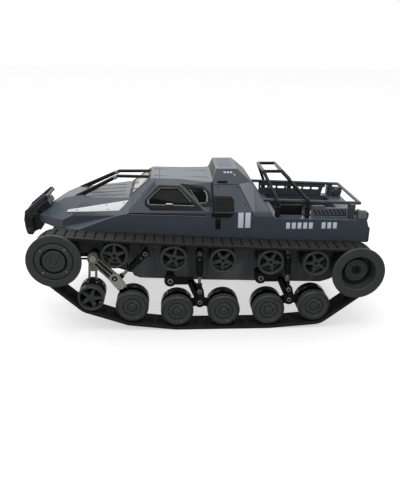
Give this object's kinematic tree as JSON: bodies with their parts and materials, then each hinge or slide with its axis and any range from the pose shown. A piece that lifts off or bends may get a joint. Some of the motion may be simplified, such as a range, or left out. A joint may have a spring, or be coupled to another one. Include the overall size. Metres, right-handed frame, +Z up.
{
  "type": "tracked vehicle chassis",
  "caption": "Small radio-controlled tracked vehicle with sprung road wheels, return rollers, rubber tracks and a faceted cab body.",
  "frame": {"origin": "on the ground, under the middle of the bounding box", "axes": "+X forward, +Y to the vehicle's left, +Z up"},
  "size_m": [0.4534, 0.205, 0.1921],
  "materials": {
    "track_rubber": "matte moulded black rubber",
    "wheel_plastic": "satin dark grey moulded plastic",
    "cast_alloy": "worn cast light alloy",
    "black_plastic": "satin black plastic",
    "steel": "bright machine steel",
    "tub_plastic": "dark slate moulded plastic",
    "body_paint": "matte slate blue-grey moulded plastic",
    "window_tint": "dark tinted glossy plastic",
    "black_tube": "satin black tube",
    "drive_dark": "dark plastic housings"
  },
  "bodies": {
    "root": {"chassis_tub": "tub_plastic", "body_shell": "body_paint", "cab_windows": "window_tint", "front_bumper": "black_tube", "tube_cage": "black_tube", "cargo_rack": "black_tube", "drive_unit": "drive_dark", "fixed_axles": "steel", "track_left": "track_rubber", "track_right": "track_rubber"},
    "drive_wheel_left": {"drive_wheel_left": "wheel_plastic"},
    "front_wheel_left": {"front_wheel_left": "wheel_plastic"},
    "return_roller_1_left": {"return_roller_1_left": "wheel_plastic"},
    "return_roller_2_left": {"return_roller_2_left": "wheel_plastic"},
    "return_roller_3_left": {"return_roller_3_left": "wheel_plastic"},
    "return_roller_4_left": {"return_roller_4_left": "wheel_plastic"},
    "return_roller_5_left": {"return_roller_5_left": "wheel_plastic"},
    "front_arm_left": {"front_arm_left": "cast_alloy"},
    "tension_arm_left": {"tension_arm_left": "cast_alloy"},
    "tension_wheel_left": {"tension_wheel_left": "wheel_plastic"},
    "road_wheel_1_left": {"road_wheel_1_left": "wheel_plastic"},
    "bogie_arm_1_left": {"bogie_arm_1_left": "black_plastic"},
    "bogie_beam_1_left": {"bogie_beam_1_left": "black_plastic"},
    "road_wheel_2_left": {"road_wheel_2_left": "wheel_plastic"},
    "road_wheel_3_left": {"road_wheel_3_left": "wheel_plastic"},
    "bogie_arm_2_left": {"bogie_arm_2_left": "black_plastic"},
    "bogie_beam_2_left": {"bogie_beam_2_left": "black_plastic"},
    "road_wheel_4_left": {"road_wheel_4_left": "wheel_plastic"},
    "road_wheel_5_left": {"road_wheel_5_left": "wheel_plastic"},
    "shock_body_1_left": {"shock_body_1_left": "black_plastic"},
    "shock_rod_1_left": {"shock_rod_1_left": "steel"},
    "shock_body_2_left": {"shock_body_2_left": "black_plastic"},
    "shock_rod_2_left": {"shock_rod_2_left": "steel"},
    "shock_body_3_left": {"shock_body_3_left": "black_plastic"},
    "shock_rod_3_left": {"shock_rod_3_left": "steel"},
    "drive_wheel_right": {"drive_wheel_right": "wheel_plastic"},
    "front_wheel_right": {"front_wheel_right": "wheel_plastic"},
    "return_roller_1_right": {"return_roller_1_right": "wheel_plastic"},
    "return_roller_2_right": {"return_roller_2_right": "wheel_plastic"},
    "return_roller_3_right": {"return_roller_3_right": "wheel_plastic"},
    "return_roller_4_right": {"return_roller_4_right": "wheel_plastic"},
    "return_roller_5_right": {"return_roller_5_right": "wheel_plastic"},
    "front_arm_right": {"front_arm_right": "cast_alloy"},
    "tension_arm_right": {"tension_arm_right": "cast_alloy"},
    "tension_wheel_right": {"tension_wheel_right": "wheel_plastic"},
    "road_wheel_1_right": {"road_wheel_1_right": "wheel_plastic"},
    "bogie_arm_1_right": {"bogie_arm_1_right": "black_plastic"},
    "bogie_beam_1_right": {"bogie_beam_1_right": "black_plastic"},
    "road_wheel_2_right": {"road_wheel_2_right": "wheel_plastic"},
    "road_wheel_3_right": {"road_wheel_3_right": "wheel_plastic"},
    "bogie_arm_2_right": {"bogie_arm_2_right": "black_plastic"},
    "bogie_beam_2_right": {"bogie_beam_2_right": "black_plastic"},
    "road_wheel_4_right": {"road_wheel_4_right": "wheel_plastic"},
    "road_wheel_5_right": {"road_wheel_5_right": "wheel_plastic"},
    "shock_body_1_right": {"shock_body_1_right": "black_plastic"},
    "shock_rod_1_right": {"shock_rod_1_right": "steel"},
    "shock_body_2_right": {"shock_body_2_right": "black_plastic"},
    "shock_rod_2_right": {"shock_rod_2_right": "steel"},
    "shock_body_3_right": {"shock_body_3_right": "black_plastic"},
    "shock_rod_3_right": {"shock_rod_3_right": "steel"}
  },
  "joints": [
    {"name": "drive_wheel_left_spin", "type": "hinge", "parent": "root", "child": "drive_wheel_left", "pos_m": [-0.193, 0.082, 0.0759], "axis": [0, 1, 0], "continuous": true},
    {"name": "front_wheel_left_spin", "type": "hinge", "parent": "root", "child": "front_wheel_left", "pos_m": [0.177, 0.082, 0.0955], "axis": [0, 1, 0], "continuous": true},
    {"name": "return_roller_1_left_spin", "type": "hinge", "parent": "root", "child": "return_roller_1_left", "pos_m": [0.1055, 0.082, 0.10051], "axis": [0, 1, 0], "continuous": true},
    {"name": "return_roller_2_left_spin", "type": "hinge", "parent": "root", "child": "return_roller_2_left", "pos_m": [0.0345, 0.082, 0.09592], "axis": [0, 1, 0], "continuous": true},
    {"name": "return_roller_3_left_spin", "type": "hinge", "parent": "root", "child": "return_roller_3_left", "pos_m": [-0.0253, 0.082, 0.09263], "axis": [0, 1, 0], "continuous": true},
    {"name": "return_roller_4_left_spin", "type": "hinge", "parent": "root", "child": "return_roller_4_left", "pos_m": [-0.0838, 0.082, 0.08992], "axis": [0, 1, 0], "continuous": true},
    {"name": "return_roller_5_left_spin", "type": "hinge", "parent": "root", "child": "return_roller_5_left", "pos_m": [-0.1399, 0.082, 0.08779], "axis": [0, 1, 0], "continuous": true},
    {"name": "front_arm_left_swing", "type": "hinge", "parent": "root", "child": "front_arm_left", "pos_m": [0.133, 0.082, 0.0925], "axis": [0, 1, 0], "range_deg": [-4, 10], "stiffness_Nm_per_rad": 2, "deforming": ["track_left"]},
    {"name": "tension_arm_left_swing", "type": "hinge", "parent": "root", "child": "tension_arm_left", "pos_m": [0.133, 0.082, 0.0925], "axis": [0, 1, 0], "range_deg": [-6, 8], "stiffness_Nm_per_rad": 1.5, "deforming": ["track_left"]},
    {"name": "tension_wheel_left_spin", "type": "hinge", "parent": "tension_arm_left", "child": "tension_wheel_left", "pos_m": [0.1365, 0.082, 0.0443], "axis": [0, 1, 0], "continuous": true},
    {"name": "road_wheel_1_left_spin", "type": "hinge", "parent": "front_arm_left", "child": "road_wheel_1_left", "pos_m": [0.0866, 0.082, 0.0309], "axis": [0, 1, 0], "continuous": true},
    {"name": "bogie_arm_1_left_swing", "type": "hinge", "parent": "root", "child": "bogie_arm_1_left", "pos_m": [0.039, 0.082, 0.062], "axis": [0, 1, 0], "range_deg": [-4, 10], "stiffness_Nm_per_rad": 3, "deforming": ["track_left"]},
    {"name": "bogie_beam_1_left_rock", "type": "hinge", "parent": "bogie_arm_1_left", "child": "bogie_beam_1_left", "pos_m": [0.0019, 0.082, 0.0321], "axis": [0, 1, 0], "range_deg": [-8, 8], "stiffness_Nm_per_rad": 0.3, "deforming": ["track_left"]},
    {"name": "road_wheel_2_left_spin", "type": "hinge", "parent": "bogie_beam_1_left", "child": "road_wheel_2_left", "pos_m": [0.0306, 0.082, 0.0243], "axis": [0, 1, 0], "continuous": true},
    {"name": "road_wheel_3_left_spin", "type": "hinge", "parent": "bogie_beam_1_left", "child": "road_wheel_3_left", "pos_m": [-0.0279, 0.082, 0.0243], "axis": [0, 1, 0], "continuous": true},
    {"name": "bogie_arm_2_left_swing", "type": "hinge", "parent": "root", "child": "bogie_arm_2_left", "pos_m": [-0.0741, 0.082, 0.0647], "axis": [0, 1, 0], "range_deg": [-4, 10], "stiffness_Nm_per_rad": 3, "deforming": ["track_left"]},
    {"name": "bogie_beam_2_left_rock", "type": "hinge", "parent": "bogie_arm_2_left", "child": "bogie_beam_2_left", "pos_m": [-0.1119, 0.082, 0.0345], "axis": [0, 1, 0], "range_deg": [-8, 8], "stiffness_Nm_per_rad": 0.3, "deforming": ["track_left"]},
    {"name": "road_wheel_4_left_spin", "type": "hinge", "parent": "bogie_beam_2_left", "child": "road_wheel_4_left", "pos_m": [-0.0847, 0.082, 0.0243], "axis": [0, 1, 0], "continuous": true},
    {"name": "road_wheel_5_left_spin", "type": "hinge", "parent": "bogie_beam_2_left", "child": "road_wheel_5_left", "pos_m": [-0.1426, 0.082, 0.0288], "axis": [0, 1, 0], "continuous": true},
    {"name": "shock_1_left_tilt", "type": "hinge", "parent": "root", "child": "shock_body_1_left", "pos_m": [0.0693, 0.0786, 0.0965], "axis": [0, 1, 0], "range_deg": [-0.578, 0.351]},
    {"name": "shock_1_left_slide", "type": "slide", "parent": "shock_body_1_left", "child": "shock_rod_1_left", "axis": [-0.7081, 0, 0.7061], "range_m": [-0.00312, 0.00766]},
    {"name": "shock_2_left_tilt", "type": "hinge", "parent": "root", "child": "shock_body_2_left", "pos_m": [0.0023, 0.0786, 0.0962], "axis": [0, 1, 0], "range_deg": [-1.44, 3.31]},
    {"name": "shock_2_left_slide", "type": "slide", "parent": "shock_body_2_left", "child": "shock_rod_2_left", "axis": [0.004, 0, 1], "range_m": [-0.00279, 0.00683]},
    {"name": "shock_3_left_tilt", "type": "hinge", "parent": "root", "child": "shock_body_3_left", "pos_m": [-0.1078, 0.0786, 0.098], "axis": [0, 1, 0], "range_deg": [-1.66, 3.86]},
    {"name": "shock_3_left_slide", "type": "slide", "parent": "shock_body_3_left", "child": "shock_rod_3_left", "axis": [0.0505, 0, 0.9987], "range_m": [-0.00268, 0.00654]},
    {"name": "drive_wheel_right_spin", "type": "hinge", "parent": "root", "child": "drive_wheel_right", "pos_m": [-0.193, -0.082, 0.0759], "axis": [0, 1, 0], "continuous": true},
    {"name": "front_wheel_right_spin", "type": "hinge", "parent": "root", "child": "front_wheel_right", "pos_m": [0.177, -0.082, 0.0955], "axis": [0, 1, 0], "continuous": true},
    {"name": "return_roller_1_right_spin", "type": "hinge", "parent": "root", "child": "return_roller_1_right", "pos_m": [0.1055, -0.082, 0.10051], "axis": [0, 1, 0], "continuous": true},
    {"name": "return_roller_2_right_spin", "type": "hinge", "parent": "root", "child": "return_roller_2_right", "pos_m": [0.0345, -0.082, 0.09592], "axis": [0, 1, 0], "continuous": true},
    {"name": "return_roller_3_right_spin", "type": "hinge", "parent": "root", "child": "return_roller_3_right", "pos_m": [-0.0253, -0.082, 0.09263], "axis": [0, 1, 0], "continuous": true},
    {"name": "return_roller_4_right_spin", "type": "hinge", "parent": "root", "child": "return_roller_4_right", "pos_m": [-0.0838, -0.082, 0.08992], "axis": [0, 1, 0], "continuous": true},
    {"name": "return_roller_5_right_spin", "type": "hinge", "parent": "root", "child": "return_roller_5_right", "pos_m": [-0.1399, -0.082, 0.08779], "axis": [0, 1, 0], "continuous": true},
    {"name": "front_arm_right_swing", "type": "hinge", "parent": "root", "child": "front_arm_right", "pos_m": [0.133, -0.082, 0.0925], "axis": [0, 1, 0], "range_deg": [-4, 10], "stiffness_Nm_per_rad": 2, "deforming": ["track_right"]},
    {"name": "tension_arm_right_swing", "type": "hinge", "parent": "root", "child": "tension_arm_right", "pos_m": [0.133, -0.082, 0.0925], "axis": [0, 1, 0], "range_deg": [-6, 8], "stiffness_Nm_per_rad": 1.5, "deforming": ["track_right"]},
    {"name": "tension_wheel_right_spin", "type": "hinge", "parent": "tension_arm_right", "child": "tension_wheel_right", "pos_m": [0.1365, -0.082, 0.0443], "axis": [0, 1, 0], "continuous": true},
    {"name": "road_wheel_1_right_spin", "type": "hinge", "parent": "front_arm_right", "child": "road_wheel_1_right", "pos_m": [0.0866, -0.082, 0.0309], "axis": [0, 1, 0], "continuous": true},
    {"name": "bogie_arm_1_right_swing", "type": "hinge", "parent": "root", "child": "bogie_arm_1_right", "pos_m": [0.039, -0.082, 0.062], "axis": [0, 1, 0], "range_deg": [-4, 10], "stiffness_Nm_per_rad": 3, "deforming": ["track_right"]},
    {"name": "bogie_beam_1_right_rock", "type": "hinge", "parent": "bogie_arm_1_right", "child": "bogie_beam_1_right", "pos_m": [0.0019, -0.082, 0.0321], "axis": [0, 1, 0], "range_deg": [-8, 8], "stiffness_Nm_per_rad": 0.3, "deforming": ["track_right"]},
    {"name": "road_wheel_2_right_spin", "type": "hinge", "parent": "bogie_beam_1_right", "child": "road_wheel_2_right", "pos_m": [0.0306, -0.082, 0.0243], "axis": [0, 1, 0], "continuous": true},
    {"name": "road_wheel_3_right_spin", "type": "hinge", "parent": "bogie_beam_1_right", "child": "road_wheel_3_right", "pos_m": [-0.0279, -0.082, 0.0243], "axis": [0, 1, 0], "continuous": true},
    {"name": "bogie_arm_2_right_swing", "type": "hinge", "parent": "root", "child": "bogie_arm_2_right", "pos_m": [-0.0741, -0.082, 0.0647], "axis": [0, 1, 0], "range_deg": [-4, 10], "stiffness_Nm_per_rad": 3, "deforming": ["track_right"]},
    {"name": "bogie_beam_2_right_rock", "type": "hinge", "parent": "bogie_arm_2_right", "child": "bogie_beam_2_right", "pos_m": [-0.1119, -0.082, 0.0345], "axis": [0, 1, 0], "range_deg": [-8, 8], "stiffness_Nm_per_rad": 0.3, "deforming": ["track_right"]},
    {"name": "road_wheel_4_right_spin", "type": "hinge", "parent": "bogie_beam_2_right", "child": "road_wheel_4_right", "pos_m": [-0.0847, -0.082, 0.0243], "axis": [0, 1, 0], "continuous": true},
    {"name": "road_wheel_5_right_spin", "type": "hinge", "parent": "bogie_beam_2_right", "child": "road_wheel_5_right", "pos_m": [-0.1426, -0.082, 0.0288], "axis": [0, 1, 0], "continuous": true},
    {"name": "shock_1_right_tilt", "type": "hinge", "parent": "root", "child": "shock_body_1_right", "pos_m": [0.0693, -0.0786, 0.0965], "axis": [0, 1, 0], "range_deg": [-0.578, 0.351]},
    {"name": "shock_1_right_slide", "type": "slide", "parent": "shock_body_1_right", "child": "shock_rod_1_right", "axis": [-0.7081, 0, 0.7061], "range_m": [-0.00312, 0.00766]},
    {"name": "shock_2_right_tilt", "type": "hinge", "parent": "root", "child": "shock_body_2_right", "pos_m": [0.0023, -0.0786, 0.0962], "axis": [0, 1, 0], "range_deg": [-1.44, 3.31]},
    {"name": "shock_2_right_slide", "type": "slide", "parent": "shock_body_2_right", "child": "shock_rod_2_right", "axis": [0.004, 0, 1], "range_m": [-0.00279, 0.00683]},
    {"name": "shock_3_right_tilt", "type": "hinge", "parent": "root", "child": "shock_body_3_right", "pos_m": [-0.1078, -0.0786, 0.098], "axis": [0, 1, 0], "range_deg": [-1.66, 3.86]},
    {"name": "shock_3_right_slide", "type": "slide", "parent": "shock_body_3_right", "child": "shock_rod_3_right", "axis": [0.0505, 0, 0.9987], "range_m": [-0.00268, 0.00654]}
  ],
  "couplings": [
    {"joint": "front_wheel_left_spin", "follows": "drive_wheel_left_spin", "ratio": 1},
    {"joint": "return_roller_1_left_spin", "follows": "drive_wheel_left_spin", "ratio": 1.6168},
    {"joint": "return_roller_2_left_spin", "follows": "drive_wheel_left_spin", "ratio": 1.6168},
    {"joint": "return_roller_3_left_spin", "follows": "drive_wheel_left_spin", "ratio": 1.6168},
    {"joint": "return_roller_4_left_spin", "follows": "drive_wheel_left_spin", "ratio": 1.6168},
    {"joint": "return_roller_5_left_spin", "follows": "drive_wheel_left_spin", "ratio": 1.6168},
    {"joint": "tension_wheel_left_spin", "follows": "drive_wheel_left_spin", "ratio": 1.6071},
    {"joint": "road_wheel_1_left_spin", "follows": "drive_wheel_left_spin", "ratio": 1.2919},
    {"joint": "road_wheel_2_left_spin", "follows": "drive_wheel_left_spin", "ratio": 1.2919},
    {"joint": "road_wheel_3_left_spin", "follows": "drive_wheel_left_spin", "ratio": 1.2919},
    {"joint": "road_wheel_4_left_spin", "follows": "drive_wheel_left_spin", "ratio": 1.2919},
    {"joint": "road_wheel_5_left_spin", "follows": "drive_wheel_left_spin", "ratio": 1.2919},
    {"joint": "shock_1_left_tilt", "follows": "front_arm_left_swing", "ratio": -0.036},
    {"joint": "shock_1_left_slide", "follows": "front_arm_left_swing", "m_per_rad": 0.04205},
    {"joint": "shock_2_left_tilt", "follows": "bogie_arm_1_left_swing", "ratio": 0.2958},
    {"joint": "shock_2_left_slide", "follows": "bogie_arm_1_left_swing", "m_per_rad": 0.03744},
    {"joint": "shock_3_left_tilt", "follows": "bogie_arm_2_left_swing", "ratio": 0.3485},
    {"joint": "shock_3_left_slide", "follows": "bogie_arm_2_left_swing", "m_per_rad": 0.03582},
    {"joint": "front_wheel_right_spin", "follows": "drive_wheel_right_spin", "ratio": 1},
    {"joint": "return_roller_1_right_spin", "follows": "drive_wheel_right_spin", "ratio": 1.6168},
    {"joint": "return_roller_2_right_spin", "follows": "drive_wheel_right_spin", "ratio": 1.6168},
    {"joint": "return_roller_3_right_spin", "follows": "drive_wheel_right_spin", "ratio": 1.6168},
    {"joint": "return_roller_4_right_spin", "follows": "drive_wheel_right_spin", "ratio": 1.6168},
    {"joint": "return_roller_5_right_spin", "follows": "drive_wheel_right_spin", "ratio": 1.6168},
    {"joint": "tension_wheel_right_spin", "follows": "drive_wheel_right_spin", "ratio": 1.6071},
    {"joint": "road_wheel_1_right_spin", "follows": "drive_wheel_right_spin", "ratio": 1.2919},
    {"joint": "road_wheel_2_right_spin", "follows": "drive_wheel_right_spin", "ratio": 1.2919},
    {"joint": "road_wheel_3_right_spin", "follows": "drive_wheel_right_spin", "ratio": 1.2919},
    {"joint": "road_wheel_4_right_spin", "follows": "drive_wheel_right_spin", "ratio": 1.2919},
    {"joint": "road_wheel_5_right_spin", "follows": "drive_wheel_right_spin", "ratio": 1.2919},
    {"joint": "shock_1_right_tilt", "follows": "front_arm_right_swing", "ratio": -0.036},
    {"joint": "shock_1_right_slide", "follows": "front_arm_right_swing", "m_per_rad": 0.04205},
    {"joint": "shock_2_right_tilt", "follows": "bogie_arm_1_right_swing", "ratio": 0.2958},
    {"joint": "shock_2_right_slide", "follows": "bogie_arm_1_right_swing", "m_per_rad": 0.03744},
    {"joint": "shock_3_right_tilt", "follows": "bogie_arm_2_right_swing", "ratio": 0.3485},
    {"joint": "shock_3_right_slide", "follows": "bogie_arm_2_right_swing", "m_per_rad": 0.03582}
  ]
}
